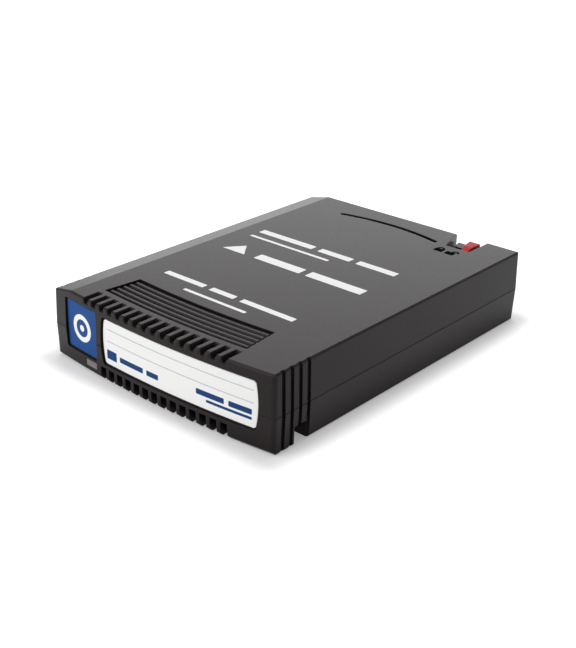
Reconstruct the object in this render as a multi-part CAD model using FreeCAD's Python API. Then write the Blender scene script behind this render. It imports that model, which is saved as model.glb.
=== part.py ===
import FreeCAD, Part
import math
import os

from FreeCAD import Vector

# Removable disk cartridge. Sizes are in millimetres and degrees.
# X runs across the front, Y from the front to the rear, Z up from the middle of the base.

# Case
case_width = 86.0
case_length = 119.0
case_height = 23.2
front_bow = 2.85
parting_height = 10.8
draft = 0.3
front_corner_radius = 1.2
rear_corner_radius = 1.0
corner_facets = 3
rim_chamfer = 0.5
seam_chamfer = 0.2
toe_chamfer = 1.1
bevel_width = 8.7
bevel_drop = 2.0
wall = 2.0
grip_side_wall = 3.6
lip_height = 1.2
lip_thickness = 0.9
lip_clearance = 0.1

# Finger notches along the front edges
notch_count = 16
notch_pitch = 3.575
notch_width = 2.3
notch_floor_width = 1.2
notch_length = 6.2
notch_end_slope = 0.8
notch_depth = 1.7
notch_flare = 0.4
bottom_notch_count = 14
bottom_notch_width = 2.4
bottom_notch_height = 4.5
bottom_notch_depth = 3.2

# Grip panel on the top, measured back from the front face
grip_front = 7.95
grip_back = 20.45
grip_front_half = 27.7
grip_back_half = 26.4
grip_depth = 1.0
ridge_count = 5
ridge_pitch = 2.2
ridge_base = 1.4
ridge_top = 0.7
ridge_height = 0.75
ridge_end_gap = 0.8

# Curved groove near the rear of the top
arc_x = -0.7
arc_half_width = 18.8
arc_rise = 2.5
arc_from_rear = 11.4
arc_groove_width = 1.7
arc_groove_depth = 0.9

# Grip grooves and latch notch on the sides, measured back from the front corners
side_groove_count = 4
side_groove_first = 3.45
side_groove_pitch = 3.27
side_groove_width = 1.4
side_groove_depth = 1.0
latch_start = 8.0
latch_length = 5.65
latch_height = 5.6
latch_drive_gap = 0.075

# Labels on the front
label_floor = 0.9
label_thickness = 0.2
label_border = 0.55
label_corner = 0.5
label_spacing = 4.15
write_label_margin = 6.35
write_label_base = 6.1
write_label_height = 13.5
write_label_bulge = 0.8
square_label_margin = 6.5
square_label_width = 13.45
square_label_base = 5.65
square_label_height = 14.5
square_label_bulge = 0.15
small_label_margin = 15.25
small_label_width = 4.8
small_label_base = 2.4
small_label_height = 1.9
small_label_floor = 0.45
small_label_border = 0.15

# Write-protect pocket and its slider
pocket_margin = 11.7
pocket_front_width = 8.7
pocket_rear_width = 12.0
pocket_from_rear = 11.75
pocket_depth = 4.6
pocket_wall = 1.3
rail_width = 4.2
rail_drop = 2.8
rail_slit = 0.8
slider_width = 4.0
slider_front_width = 2.2
slider_travel = 4.2
slider_side_gap = 2.0
slider_top_drop = 0.5
slider_front_drop = 1.8
slider_rear_gap = 2.0
slider_clearance = 0.2
slider_lip = 0.9
slider_lip_height = 1.1

# Snap hooks that hold the two halves together
hooks_per_side = 3
hook_first_from_rear = 82.0
hook_pitch = 24.0
hook_width = 6.0
hook_thickness = 1.4
hook_root = 4.0
hook_height = 4.6
hook_nub = 0.7
hook_nub_height = 1.6
hook_clearance = 0.1

# Rear mouth and the boards and connectors in it
connector_x = -4.8
mouth_width = 40.0
mouth_height = 9.6
mouth_z = 10.7
mouth_depth = 4.0
dock_housing_width = 37.0
dock_housing_height = 6.4
dock_housing_depth = 3.5
dock_cavity_width = 34.0
dock_cavity_height = 4.0
dock_back = 0.8
dock_tongue_width = 32.0
dock_tongue_thickness = 1.2
contact_count = 22
contact_pitch = 1.27
contact_width = 0.7
contact_thickness = 0.12
contact_length = 2.0
board_thickness = 1.2
board_width = 44.0
board_height = 15.0
socket_flange = 0.8
socket_flange_overlap = 1.2

# Disk drive
drive_width = 69.85
drive_length = 100.0
drive_thickness = 9.5
drive_base_height = 6.8
drive_corner = 0.8
cover_thickness = 0.7
cover_inset = 0.3
gasket_thickness = 0.3
gasket_width = 0.9
gasket_inset = 0.4
deck_bottom = 2.4
deck_thickness = 1.2
spindle_from_front = 36.2
disc_radius = 32.5
disc_bore_radius = 10.0
disc_thickness = 0.8
disc_height = 2.4
disc_room = 0.7
chamber_margin = 2.9
chamber_from_rear = 10.2
circuit_width = 65.0
circuit_from_spindle = 14.5
circuit_thickness = 0.8
circuit_drop = 0.5
circuit_rear_gap = 1.0
circuit_room = 0.4
pad_size = 4.0
chip_sizes = (12.0, 9.0, 7.0)
chip_pitch = 16.0
chip_gap = 0.15
plug_width = 42.0
plug_depth = 8.0
plug_height = 3.5
plug_cavity_width = 38.0
plug_cavity_depth = 5.5
plug_wall = 0.6
plug_tongue_width = 34.0
plug_tongue_thickness = 0.9
plug_fit = 0.15

# Spindle
shaft_radius = 2.0
running_clearance = 0.03
sleeve_radius = 4.5
sleeve_sink = 1.0
sleeve_rise = 1.0
stator_inner = 5.6
stator_outer = 9.3
stator_height = 1.2
stator_poles = 9
stator_slot = 0.9
hub_skirt_inner = 10.2
hub_radius = 12.2
hub_flange_thickness = 0.8
hub_floor_gap = 0.3
bore_fit = 0.05
clamp_radius = 12.0
clamp_sides = 12
clamp_thickness = 0.6

# Actuator
pivot_x = -14.0
pivot_to_spindle = 40.0
arm_length = 36.0
parked_radius = 33.8
pivot_radius = 2.5
arm_hub_radius = 5.2
arm_axial_gap = 0.2
arm_thickness = 0.7
arm_root_half = 4.2
arm_tip_half = 1.6
beam_length = 12.0
beam_overlap = 2.5
beam_thickness = 0.2
beam_root_half = 1.4
beam_tip_half = 0.6
beam_tip_past_head = 2.2
head_size = 1.2
head_thickness = 0.28
head_gap = 0.12
coil_inner = 8.0
coil_outer = 15.0
coil_half_angle = 22.0
coil_height = 1.2
coil_rim = 2.2
coil_side_angle = 10.0
yoke_inner = 7.0
yoke_outer = 16.5
yoke_wall = 1.0
yoke_thickness = 0.7
yoke_angle_from = 108.0
yoke_angle_to = 188.0
magnet_inner = 8.5
magnet_outer = 14.8
magnet_angle_margin = 7.0
magnet_gap = 0.35
ramp_inner = 37.0
ramp_outer = 41.0
ramp_foot = 1.8
ramp_half_angle = 8.0
ramp_clearance = 0.05
ramp_disc_gap = 0.5
filter_width = 8.0
filter_length = 4.0
filter_height = 3.6

# Shock bumpers round the drive
bumper_wrap = 9.0
bumper_nose = 3.0
front_bumper_length = 9.0
rear_bumper_length = 12.0
rear_bumper_from_end = 6.0

# Places worked out from the sizes
half_width = case_width / 2
rear_y = case_length / 2
apex_y = -case_length / 2
corner_y = apex_y + front_bow
bow_radius = (half_width ** 2 + front_bow ** 2) / (2 * front_bow)
bow_y = apex_y + bow_radius
over = 1.0

notch_floor = case_height - notch_depth
grip_floor = case_height - grip_depth
front_zone_y = apex_y + grip_back + wall

dock_rear_y = rear_y - mouth_depth
dock_front_y = dock_rear_y - dock_housing_depth
board_front_y = dock_front_y - board_thickness
drive_rear_y = board_front_y - socket_flange
drive_front_y = drive_rear_y - drive_length
drive_top = drive_base_height + drive_thickness
drive_half = drive_width / 2
cover_bottom = drive_top - cover_thickness
gasket_bottom = cover_bottom - gasket_thickness
deck_low = drive_base_height + deck_bottom
deck_high = deck_low + deck_thickness
circuit_low = drive_base_height + circuit_drop
circuit_high = circuit_low + circuit_thickness
plug_front_y = drive_rear_y - plug_depth
chamber_half = drive_half - chamber_margin
chamber_rear_y = drive_rear_y - chamber_from_rear

spindle_y = drive_front_y + spindle_from_front
disc_low = deck_high + disc_height
disc_high = disc_low + disc_thickness
disc_middle = (disc_low + disc_high) / 2
circuit_front_y = spindle_y + circuit_from_spindle
circuit_rear_y = drive_rear_y - circuit_rear_gap
plug_middle = circuit_high + plug_height / 2

pivot_y = spindle_y + math.sqrt(pivot_to_spindle ** 2 - pivot_x ** 2)
to_spindle_angle = math.degrees(math.atan2(spindle_y - pivot_y, -pivot_x))
parked_cosine = pivot_to_spindle ** 2 + arm_length ** 2 - parked_radius ** 2
parked_cosine = parked_cosine / (2 * pivot_to_spindle * arm_length)
parked_angle = to_spindle_angle + math.degrees(math.acos(parked_cosine))
beam_offset = disc_thickness / 2 + head_gap + head_thickness
coil_low = disc_middle - coil_height / 2
coil_high = disc_middle + coil_height / 2
yoke_sweep = yoke_angle_to - yoke_angle_from
upper_yoke_low = cover_bottom - yoke_thickness

square_label_left = -half_width + square_label_margin
square_label_right = square_label_left + square_label_width
write_label_left = square_label_right + label_spacing
write_label_right = half_width - write_label_margin
small_label_left = -half_width + small_label_margin

latch_depth = half_width - drive_half - latch_drive_gap - wall
pocket_right = half_width - pocket_margin
pocket_left_front = pocket_right - pocket_front_width
pocket_left_rear = pocket_right - pocket_rear_width
pocket_lean = (pocket_left_front - pocket_left_rear) / pocket_from_rear
slider_right = pocket_right - slider_side_gap
pocket_front_y = rear_y - pocket_from_rear
rail_front_y = rear_y - rail_width
pocket_floor = case_height - pocket_depth
rail_top = case_height - rail_drop


# Small helpers

def block(x0, x1, y0, y1, z0, z1):
    return Part.makeBox(x1 - x0, y1 - y0, z1 - z0, Vector(x0, y0, z0))


def centred(width, y0, y1, z, height):
    return block(connector_x - width / 2, connector_x + width / 2, y0, y1, z - height / 2, z + height / 2)


def rod(x, y, radius, z0, z1):
    return Part.makeCylinder(radius, z1 - z0, Vector(x, y, z0))


def tube(x, y, inner, outer, z0, z1):
    return rod(x, y, outer, z0, z1).cut(rod(x, y, inner, z0, z1))


def sector(x, y, inner, outer, start, sweep, z0, z1):
    foot = Vector(x, y, z0)
    upward = Vector(0, 0, 1)
    wedge = Part.makeCylinder(outer, z1 - z0, foot, upward, sweep)
    wedge = wedge.cut(rod(x, y, inner, z0, z1))
    wedge.rotate(foot, upward, start)
    return wedge


def outline_face(points):
    corners = [Vector(*point) for point in points]
    return Part.Face(Part.makePolygon(corners + corners[:1]))


def prism(points, run):
    return outline_face(points).extrude(Vector(*run))


def join(shapes):
    if len(shapes) == 1:
        return shapes[0]
    return shapes[0].multiFuse(shapes[1:]).removeSplitter()


def carve(body, groups):
    for group in groups:
        body = body.cut(group)
    return body


def mirrored(shape):
    return shape.mirror(Vector(0, 0, 0), Vector(1, 0, 0))


def both_sides(shape):
    return [shape, mirrored(shape)]


def save(name, shape):
    shape.exportStep(f"parts/{name}.step")


# The bowed front: everything behind the front face moved back by an inset

def behind_front(inset, z0, z1):
    return rod(0, bow_y, bow_radius - inset, z0, z1)


def front_y(x, inset=0):
    return bow_y - math.sqrt((bow_radius - inset) ** 2 - x ** 2)


def outline_edges(faces):
    edges = [edge for face in faces for edge in face.Edges]
    return [edge for edge in edges if sum(edge.isSame(other) for other in edges) == 1]


def facing(body, way):
    flat = [face for face in body.Faces if isinstance(face.Surface, Part.Plane)]
    return [face for face in flat if face.normalAt(0, 0).z * way > 0.9]


# One half of the case: bowed front and drafted walls

def case_half(outer_z):
    way = 1 if outer_z > parting_height else -1
    low = parting_height
    front = apex_y - over
    narrow = half_width - draft
    across = [(-half_width, front, low), (half_width, front, low)]
    across += [(narrow, front, outer_z), (-narrow, front, outer_z)]
    along = [(-half_width, front, low), (-half_width, rear_y, low), (-half_width, rear_y - draft, outer_z)]
    along.append((-half_width, front, outer_z))
    rise = abs(outer_z - low)
    cone = Part.makeCone(bow_radius, bow_radius - draft, rise, Vector(0, bow_y, low), Vector(0, 0, way))
    return prism(across, (0, case_length + over, 0)).common(prism(along, (case_width, 0, 0))).common(cone)


def chamfered(body, way, size):
    return body.makeChamfer(size, outline_edges(facing(body, way)))


# Corner rounding: facets about a centre that leans with the drafted walls

def front_centre(inset, z):
    x = half_width - inset - front_corner_radius
    reach = bow_radius - inset - front_corner_radius
    return Vector(x, bow_y - math.sqrt(reach ** 2 - x ** 2), z)


def rear_centre(inset, z):
    return Vector(half_width - inset - rear_corner_radius, rear_y - inset - rear_corner_radius, z)


def corner_cut(centre, lean, radius, last_angle):
    start = centre - lean * (over / lean.Length)
    outline = [start + Vector(radius + over, 0, 0)]
    for index in range(corner_facets + 1):
        angle = last_angle * index / corner_facets
        outline.append(start + Vector(math.cos(angle), math.sin(angle), 0) * radius)
    edge_y = start.y + math.copysign(radius + over, last_angle)
    outline.append(Vector(outline[-1].x, edge_y, start.z))
    outline.append(Vector(outline[0].x, edge_y, start.z))
    return prism(outline, lean * (1 + 2 * over / lean.Length))


def corner_cuts(outer_z):
    front = front_centre(0, parting_height)
    front_angle = math.atan2(front.y - bow_y, front.x)
    rear = rear_centre(0, parting_height)
    front_lean = front_centre(draft, outer_z) - front
    rear_lean = rear_centre(draft, outer_z) - rear
    cuts = both_sides(corner_cut(front, front_lean, front_corner_radius, front_angle))
    return cuts + both_sides(corner_cut(rear, rear_lean, rear_corner_radius, math.pi / 2))


def toe_cut():
    rise = toe_chamfer + over
    upper = bow_radius - draft
    slope = Part.makeCone(upper - rise, upper, rise, Vector(0, bow_y, -over))
    side = half_width + over
    return block(-side, side, apex_y - over, corner_y + rise, -over, toe_chamfer).cut(slope)


def bevel_wedge(drop):
    x0 = -half_width - over
    x1 = -half_width + bevel_width + over
    y = apex_y - over
    slope = bevel_drop / bevel_width
    low = case_height - bevel_drop - slope * over - drop
    high = case_height + slope * over - drop
    points = [(x0, y, low), (x0, y, high + drop), (x1, y, high + drop), (x1, y, high)]
    return prism(points, (0, case_length + 2 * over, 0))


# Cuts in the outside of the case

def notch_places():
    return [(index - (notch_count - 1) / 2) * notch_pitch for index in range(notch_count)]


def top_notches():
    half = notch_width / 2
    half_floor = notch_floor_width / 2
    spread = over * (half - half_floor) / notch_depth
    lean = over * notch_end_slope / notch_depth
    top = case_height + over
    cuts = []
    for x in notch_places():
        face_y = front_y(x)
        y0 = face_y - over
        y1 = face_y + notch_length
        across = [(x - half_floor, y0, notch_floor), (x + half_floor, y0, notch_floor)]
        across += [(x + half + spread, y0, top), (x - half - spread, y0, top)]
        along = [(x - notch_pitch, y0, notch_floor), (x - notch_pitch, y1 - notch_end_slope, notch_floor)]
        along += [(x - notch_pitch, y1 + lean, top), (x - notch_pitch, y0, top)]
        slot = prism(across, (0, notch_length + 2 * over, 0)).common(prism(along, (2 * notch_pitch, 0, 0)))
        wide = half + notch_flare + over
        flare_y = face_y + notch_flare
        mouth = [(x - wide, y0), (x + wide, y0), (x + half, flare_y), (x - half, flare_y)]
        flare = prism([(*point, notch_floor) for point in mouth], (0, 0, notch_depth + over))
        cuts.append(slot.fuse(flare))
    return cuts


def bottom_notches():
    half = bottom_notch_width / 2
    cuts = []
    for x in notch_places()[-bottom_notch_count:]:
        y = front_y(x)
        cuts.append(block(x - half, x + half, y - over, y + bottom_notch_depth, -over, bottom_notch_height))
    return cuts


def grip_outline(gap, z0, z1):
    lean = (grip_front_half - grip_back_half) / (grip_back - grip_front)
    front_half = grip_front_half + lean * wall - gap
    back_half = grip_back_half - lean * wall - gap
    y0 = apex_y + grip_front - wall
    y1 = apex_y + grip_back + wall
    points = [(-front_half, y0, z0), (front_half, y0, z0), (back_half, y1, z0), (-back_half, y1, z0)]
    return prism(points, (0, 0, z1 - z0))


def grip_recess():
    band = behind_front(grip_front, grip_floor, case_height + over)
    band = band.cut(behind_front(grip_back, grip_floor, case_height + over))
    return band.common(grip_outline(0, grip_floor, case_height + over))


def grip_ridges():
    sweep = 2.4 * math.degrees(grip_front_half / bow_radius)
    top = grip_floor + ridge_height
    middle = (grip_front + grip_back) / 2
    ridges = []
    for index in range(ridge_count):
        y = apex_y + middle + (index - (ridge_count - 1) / 2) * ridge_pitch
        section = [(0, y - ridge_base / 2, grip_floor), (0, y + ridge_base / 2, grip_floor)]
        section += [(0, y + ridge_top / 2, top), (0, y - ridge_top / 2, top)]
        ridge = outline_face(section).revolve(Vector(0, bow_y, 0), Vector(0, 0, 1), sweep)
        ridge.rotate(Vector(0, bow_y, 0), Vector(0, 0, 1), -sweep / 2)
        ridges.append(ridge.common(grip_outline(ridge_end_gap, grip_floor, case_height)))
    return ridges


def arc_groove():
    radius = (arc_half_width ** 2 + arc_rise ** 2) / (2 * arc_rise)
    end_y = rear_y - arc_from_rear
    centre_y = end_y + arc_rise - radius
    half_angle = math.degrees(math.asin(arc_half_width / radius))
    floor = case_height - arc_groove_depth
    half = arc_groove_width / 2
    top = case_height + over
    start = 90 - half_angle
    sweep = 2 * half_angle
    groove = sector(arc_x, centre_y, radius - half, radius + half, start, sweep, floor, top)
    ends = [rod(arc_x + side, end_y, half, floor, top) for side in (-arc_half_width, arc_half_width)]
    return join([groove] + ends)


def side_grooves():
    cuts = []
    for index in range(side_groove_count):
        y = corner_y + side_groove_first + index * side_groove_pitch
        half = side_groove_width / 2
        x = half_width - side_groove_depth
        cuts += both_sides(block(x, half_width + over, y - half, y + half, -over, case_height + over))
    return cuts


def latch_notch(skin):
    y = corner_y + latch_start
    x = half_width - latch_depth
    return block(x - skin, half_width + over, y - skin, y + latch_length + skin, -over, latch_height + skin)


def rear_mouth():
    return centred(mouth_width, rear_y - wall - over, rear_y + over, mouth_z, mouth_height)


# Label windows: straight top and bottom, ends that bulge, corners cut off

def label_window(left, right, base, height, bulge, border):
    y0 = apex_y - over
    low = base - border
    high = base + height + border
    middle = (low + high) / 2
    left = left - border
    right = right + border
    corners = [Vector(left, y0, low), Vector(right, y0, low)]
    corners += [Vector(right, y0, high), Vector(left, y0, high)]
    edges = [Part.LineSegment(corners[0], corners[1])]
    edges.append(Part.Arc(corners[1], Vector(right + bulge, y0, middle), corners[2]))
    edges.append(Part.LineSegment(corners[2], corners[3]))
    edges.append(Part.Arc(corners[3], Vector(left - bulge, y0, middle), corners[0]))
    face = Part.Face(Part.Wire([edge.toShape() for edge in edges]))
    window = face.extrude(Vector(0, over + front_bow + label_floor + over, 0))
    along = [edge for edge in window.Edges if edge.BoundBox.YLength > over]
    return window.makeChamfer(label_corner, along)


def write_window(border):
    base = write_label_base
    bulge = write_label_bulge
    return label_window(write_label_left, write_label_right, base, write_label_height, bulge, border)


def square_window(border):
    base = square_label_base
    bulge = square_label_bulge
    return label_window(square_label_left, square_label_right, base, square_label_height, bulge, border)


def small_window(border):
    left = small_label_left - border
    right = small_label_left + small_label_width + border
    low = small_label_base - border
    high = small_label_base + small_label_height + border
    return block(left, right, apex_y - over, corner_y + over, low, high)


def label_recess(window, floor):
    return window.cut(behind_front(floor, -over, case_height + over))


def label_sheet(window, floor):
    front = behind_front(floor - label_thickness, -over, case_height + over)
    return label_recess(window.common(front), floor)


def front_recesses():
    return [label_recess(window(label_border), label_floor) for window in (write_window, square_window)]


# Write-protect pocket

def pocket_left(y):
    return pocket_left_front - pocket_lean * (y - pocket_front_y)


def leaning_block(left, right, y0, y1, z0, z1):
    shift = pocket_lean * (y1 - y0)
    outline = [(left, y0, z0), (right, y0, z0), (right, y1, z0), (left - shift, y1, z0)]
    return prism(outline, (0, 0, z1 - z0))


def pocket():
    top = case_height + over
    rear = rear_y + over
    hole = leaning_block(pocket_left_front, pocket_right, pocket_front_y, rear, pocket_floor, top)
    rail_left = pocket_left(rail_front_y) + rail_slit
    rail_right = pocket_right + over
    rail = leaning_block(rail_left, rail_right, rail_front_y, rear + over, pocket_floor - over, rail_top)
    groove_y0 = pocket_front_y - slider_lip - slider_clearance
    groove_y1 = rail_front_y + slider_lip + slider_clearance
    groove_top = pocket_floor + slider_lip_height + 2 * slider_clearance
    groove_x0 = slider_right - slider_width - slider_travel - slider_clearance
    groove_x1 = slider_right + slider_clearance
    groove = block(groove_x0, groove_x1, groove_y0, groove_y1, pocket_floor, groove_top)
    return hole.cut(rail).fuse(groove)


def pocket_skin():
    x0 = pocket_left_rear - pocket_wall
    x1 = pocket_right + pocket_wall
    y0 = pocket_front_y - slider_lip - slider_clearance - pocket_wall
    return block(x0, x1, y0, rear_y, pocket_floor - pocket_wall, case_height)


def write_protect_slider():
    low = pocket_floor + slider_clearance
    rear = rear_y - slider_rear_gap
    front = pocket_front_y + slider_clearance
    foot_rear = rail_front_y - slider_clearance
    tab_low = rail_top + slider_clearance
    tab_top = case_height - slider_top_drop
    tab_front = case_height - slider_front_drop
    ramp_y = (front + rear) / 2
    lip_top = low + slider_lip_height
    x = slider_right - slider_width
    section = [(front, low), (foot_rear, low), (foot_rear, tab_low), (rear, tab_low)]
    section += [(rear, tab_top), (ramp_y, tab_top), (front, tab_front)]
    body = prism([(x, y, z) for y, z in section], (slider_width, 0, 0))
    plan = [(slider_right - slider_front_width, front), (slider_right, front)]
    plan += [(slider_right, rear), (x, rear)]
    body = body.common(prism([(*point, low) for point in plan], (0, 0, tab_top - low)))
    edges = [edge for edge in body.Edges if edge.BoundBox.ZMin > tab_low + slider_clearance]
    body = body.makeChamfer(slider_clearance, edges)
    lip = block(x, slider_right, front - slider_lip, foot_rear + slider_lip, low, lip_top)
    return body.fuse(lip).removeSplitter()


# Snap hooks on the lower half and the slots that they catch in

def hook_places():
    return [rear_y - hook_first_from_rear + index * hook_pitch for index in range(hooks_per_side)]


def snap_hooks():
    side = half_width - wall
    inner = side - hook_thickness
    face = side - hook_clearance
    low = parting_height - hook_root
    top = parting_height + hook_height
    catch = top - hook_nub_height
    section = [(inner, low), (side + lip_thickness, low), (side + lip_thickness, parting_height)]
    section += [(face, parting_height), (face, catch), (side + hook_nub, catch), (face, top), (inner, top)]
    hooks = []
    for y in hook_places():
        hook = prism([(x, y - hook_width / 2, z) for x, z in section], (0, hook_width, 0))
        hooks += both_sides(hook)
    return hooks


def hook_slots():
    side = half_width - wall
    half = hook_width / 2 + hook_clearance
    top = parting_height + hook_height + hook_clearance
    low = top - hook_nub_height - 2 * hook_clearance
    slots = []
    depth = side + hook_nub + hook_clearance
    for y in hook_places():
        slots += both_sides(block(side - over, depth, y - half, y + half, low, top))
    return slots


# Inside space of the case

def top_space():
    side = half_width - wall
    grip_side = half_width - grip_side_wall
    front = apex_y - over
    roof = case_height - wall
    main = block(-side, side, front_zone_y, rear_y - wall, parting_height, roof)
    under_grip = block(-grip_side, grip_side, front, front_zone_y, parting_height, grip_floor - wall)
    under_grip = under_grip.common(behind_front(notch_length + wall, parting_height, case_height))
    under_notches = block(-grip_side, grip_side, front, front_zone_y, parting_height, notch_floor - wall)
    under_notches = under_notches.common(behind_front(label_floor + wall, parting_height, case_height))
    space = join([main, under_grip, under_notches])
    return space.cut([bevel_wedge(wall), pocket_skin()])


def bottom_space(top):
    side = half_width - wall
    grip_side = half_width - grip_side_wall
    front = apex_y - over
    notch_roof = bottom_notch_height + wall
    main = block(-side, side, front_zone_y, rear_y - wall, wall, top)
    low = block(-grip_side, grip_side, front, front_zone_y, wall, notch_roof)
    low = low.common(behind_front(bottom_notch_depth + wall, 0, case_height))
    high = block(-grip_side, grip_side, front, front_zone_y, notch_roof, top)
    high = high.common(behind_front(label_floor + wall, 0, case_height))
    space = join([main, low, high])
    return space.cut(latch_notch(wall))


# Lip of the lower half, which stands up inside the upper half

def lip_plate(clearance):
    side = half_width - wall + lip_thickness + clearance
    rear = rear_y - wall + lip_thickness + clearance
    top = parting_height + lip_height + clearance
    return block(-side, side, front_zone_y - clearance, rear, parting_height, top)


def top_shell(space):
    body = chamfered(case_half(case_height).cut(bevel_wedge(0)), 1, rim_chamfer)
    body = chamfered(body, -1, seam_chamfer)
    groups = [corner_cuts(case_height), [space], [lip_plate(lip_clearance)], hook_slots()]
    groups.append(top_notches() + side_grooves())
    groups += [[grip_recess(), arc_groove()], [pocket()], [rear_mouth()], front_recesses()]
    return join([carve(body, groups)] + grip_ridges())


def bottom_shell():
    body = chamfered(case_half(0), -1, rim_chamfer)
    body = join([carve(body, [corner_cuts(0), [toe_cut()]]), lip_plate(0)])
    groups = [[bottom_space(parting_height + lip_height)], bottom_notches() + side_grooves()]
    groups += [[latch_notch(0)], [rear_mouth()], front_recesses()]
    groups.append([label_recess(small_window(small_label_border), small_label_floor)])
    return join([carve(body, groups)] + snap_hooks())


# Dock connector, adapter board and drive socket behind the drive

def dock_connector():
    housing = centred(dock_housing_width, dock_front_y, dock_rear_y, mouth_z, dock_housing_height)
    cavity_y = dock_front_y + dock_back
    cavity = centred(dock_cavity_width, cavity_y, dock_rear_y + over, mouth_z, dock_cavity_height)
    tongue = centred(dock_tongue_width, dock_front_y, dock_rear_y, mouth_z, dock_tongue_thickness)
    return join([housing.cut(cavity), tongue])


def dock_contacts():
    contacts = []
    z = mouth_z + dock_tongue_thickness / 2
    for index in range(contact_count):
        x = connector_x + (index - (contact_count - 1) / 2) * contact_pitch
        half = contact_width / 2
        y = dock_front_y + dock_back
        contacts.append(block(x - half, x + half, y, y + contact_length, z, z + contact_thickness))
    return Part.makeCompound(contacts)


def adapter_board():
    half = board_width / 2
    top = wall + board_height
    return block(connector_x - half, connector_x + half, board_front_y, dock_front_y, wall, top)


def drive_socket():
    front = drive_rear_y - plug_cavity_depth + plug_fit
    height = plug_height - 2 * plug_wall - 2 * plug_fit
    body = centred(plug_cavity_width - 2 * plug_fit, front, board_front_y, plug_middle, height)
    flange_height = plug_height + 2 * socket_flange_overlap
    flange = centred(plug_width, drive_rear_y, board_front_y, plug_middle, flange_height)
    slot_height = plug_tongue_thickness + 2 * plug_fit
    slot_width = plug_tongue_width + 2 * plug_fit
    slot = centred(slot_width, front - over, drive_rear_y + plug_fit, plug_middle, slot_height)
    return join([body, flange]).cut(slot)


# Disk drive

def drive_body():
    return block(-drive_half, drive_half, drive_front_y, drive_rear_y, drive_base_height, drive_top)


def drive_base():
    body = block(-drive_half, drive_half, drive_front_y, drive_rear_y, drive_base_height, gasket_bottom)
    upright = [edge for edge in body.Edges if edge.BoundBox.ZLength > over]
    body = body.makeChamfer(drive_corner, upright)
    disc_well = rod(0, spindle_y, disc_radius + disc_room, deck_high, drive_top)
    chamber = block(-chamber_half, chamber_half, spindle_y, chamber_rear_y, deck_high, drive_top)
    chamber = chamber.cut(block(-drive_half, drive_half, spindle_y, circuit_front_y, deck_high, drive_top))
    side = circuit_width / 2 + circuit_room
    under = block(-side, side, circuit_front_y - circuit_room, drive_rear_y + over, 0, deck_low)
    half = circuit_width / 2
    pads = []
    for y in (circuit_front_y, circuit_rear_y - pad_size):
        pads += both_sides(block(half - pad_size, half, y, y + pad_size, circuit_high, deck_high))
    plug_room = centred(plug_width + 2 * plug_fit, plug_front_y - plug_fit, drive_rear_y + over,
                        plug_middle, plug_height + 2 * plug_fit)
    cuts = [disc_well, chamber, under, plug_room]
    cuts.append(rod(0, spindle_y, sleeve_radius, deck_high - sleeve_sink, deck_high))
    return join([body.cut(cuts)] + pads)


def drive_cover():
    half = drive_half - cover_inset
    front = drive_front_y + cover_inset
    rear = drive_rear_y - cover_inset
    plate = block(-half, half, front, rear, cover_bottom, drive_top)
    upright = [edge for edge in plate.Edges if edge.BoundBox.ZLength > cover_thickness / 2]
    return plate.makeChamfer(drive_corner, upright)


def cover_gasket():
    rings = []
    for inset in (gasket_inset, gasket_inset + gasket_width):
        half = drive_half - inset
        front = drive_front_y + inset
        rear = drive_rear_y - inset
        rings.append(block(-half, half, front, rear, gasket_bottom, cover_bottom))
    return rings[0].cut(rings[1])


def drive_circuit():
    half = circuit_width / 2
    return block(-half, half, circuit_front_y, circuit_rear_y, circuit_low, circuit_high)


def circuit_chips():
    top = deck_low - chip_gap
    middle = (circuit_front_y + plug_front_y) / 2
    chips = []
    left = -chip_pitch * len(chip_sizes[1:]) / 2
    for index, size in enumerate(chip_sizes):
        x = left + index * chip_pitch
        half = size / 2
        chips.append(block(x - half, x + half, middle - half, middle + half, circuit_high, top))
    return Part.makeCompound(chips)


def drive_plug():
    body = centred(plug_width, plug_front_y, drive_rear_y, plug_middle, plug_height)
    cavity_y = drive_rear_y - plug_cavity_depth
    cavity_height = plug_height - 2 * plug_wall
    cavity = centred(plug_cavity_width, cavity_y, drive_rear_y + over, plug_middle, cavity_height)
    tongue = centred(plug_tongue_width, cavity_y, drive_rear_y, plug_middle, plug_tongue_thickness)
    return join([body.cut(cavity), tongue])


def many_sided(sides, radius, z0, z1):
    turns = [2 * math.pi * index / sides for index in range(sides)]
    outline = [(radius * math.cos(turn), spindle_y + radius * math.sin(turn), z0) for turn in turns]
    return prism(outline, (0, 0, z1 - z0))


def spindle_sleeve():
    inner = shaft_radius + running_clearance
    return tube(0, spindle_y, inner, sleeve_radius, deck_high - sleeve_sink, deck_high + sleeve_rise)


def spindle_stator():
    top = deck_high + stator_height
    half = stator_slot / 2
    middle = (stator_inner + stator_outer) / 2
    core = many_sided(stator_poles, stator_outer, deck_high, top)
    cuts = [many_sided(stator_poles, stator_inner, deck_high, top)]
    for index in range(stator_poles):
        slot = block(middle, stator_outer + over, -half, half, deck_high, top)
        slot.rotate(Vector(0, 0, 0), Vector(0, 0, 1), index * 360 / stator_poles)
        slot.translate(Vector(0, spindle_y, 0))
        cuts.append(slot)
    return core.cut(cuts)


def spindle_hub():
    flange_low = disc_low - hub_flange_thickness
    skirt = tube(0, spindle_y, hub_skirt_inner, hub_radius, deck_high + hub_floor_gap, flange_low)
    flange = rod(0, spindle_y, hub_radius, flange_low, disc_low)
    boss = rod(0, spindle_y, disc_bore_radius - bore_fit, disc_low, disc_high - bore_fit)
    shaft = rod(0, spindle_y, shaft_radius, deck_high - sleeve_sink + running_clearance, disc_low)
    return join([skirt, flange, boss, shaft])


def platter():
    return tube(0, spindle_y, disc_bore_radius, disc_radius, disc_low, disc_high)


def disc_clamp():
    return many_sided(clamp_sides, clamp_radius, disc_high, disc_high + clamp_thickness)


# Actuator, drawn along +X from the pivot and then turned to its parked angle

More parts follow.
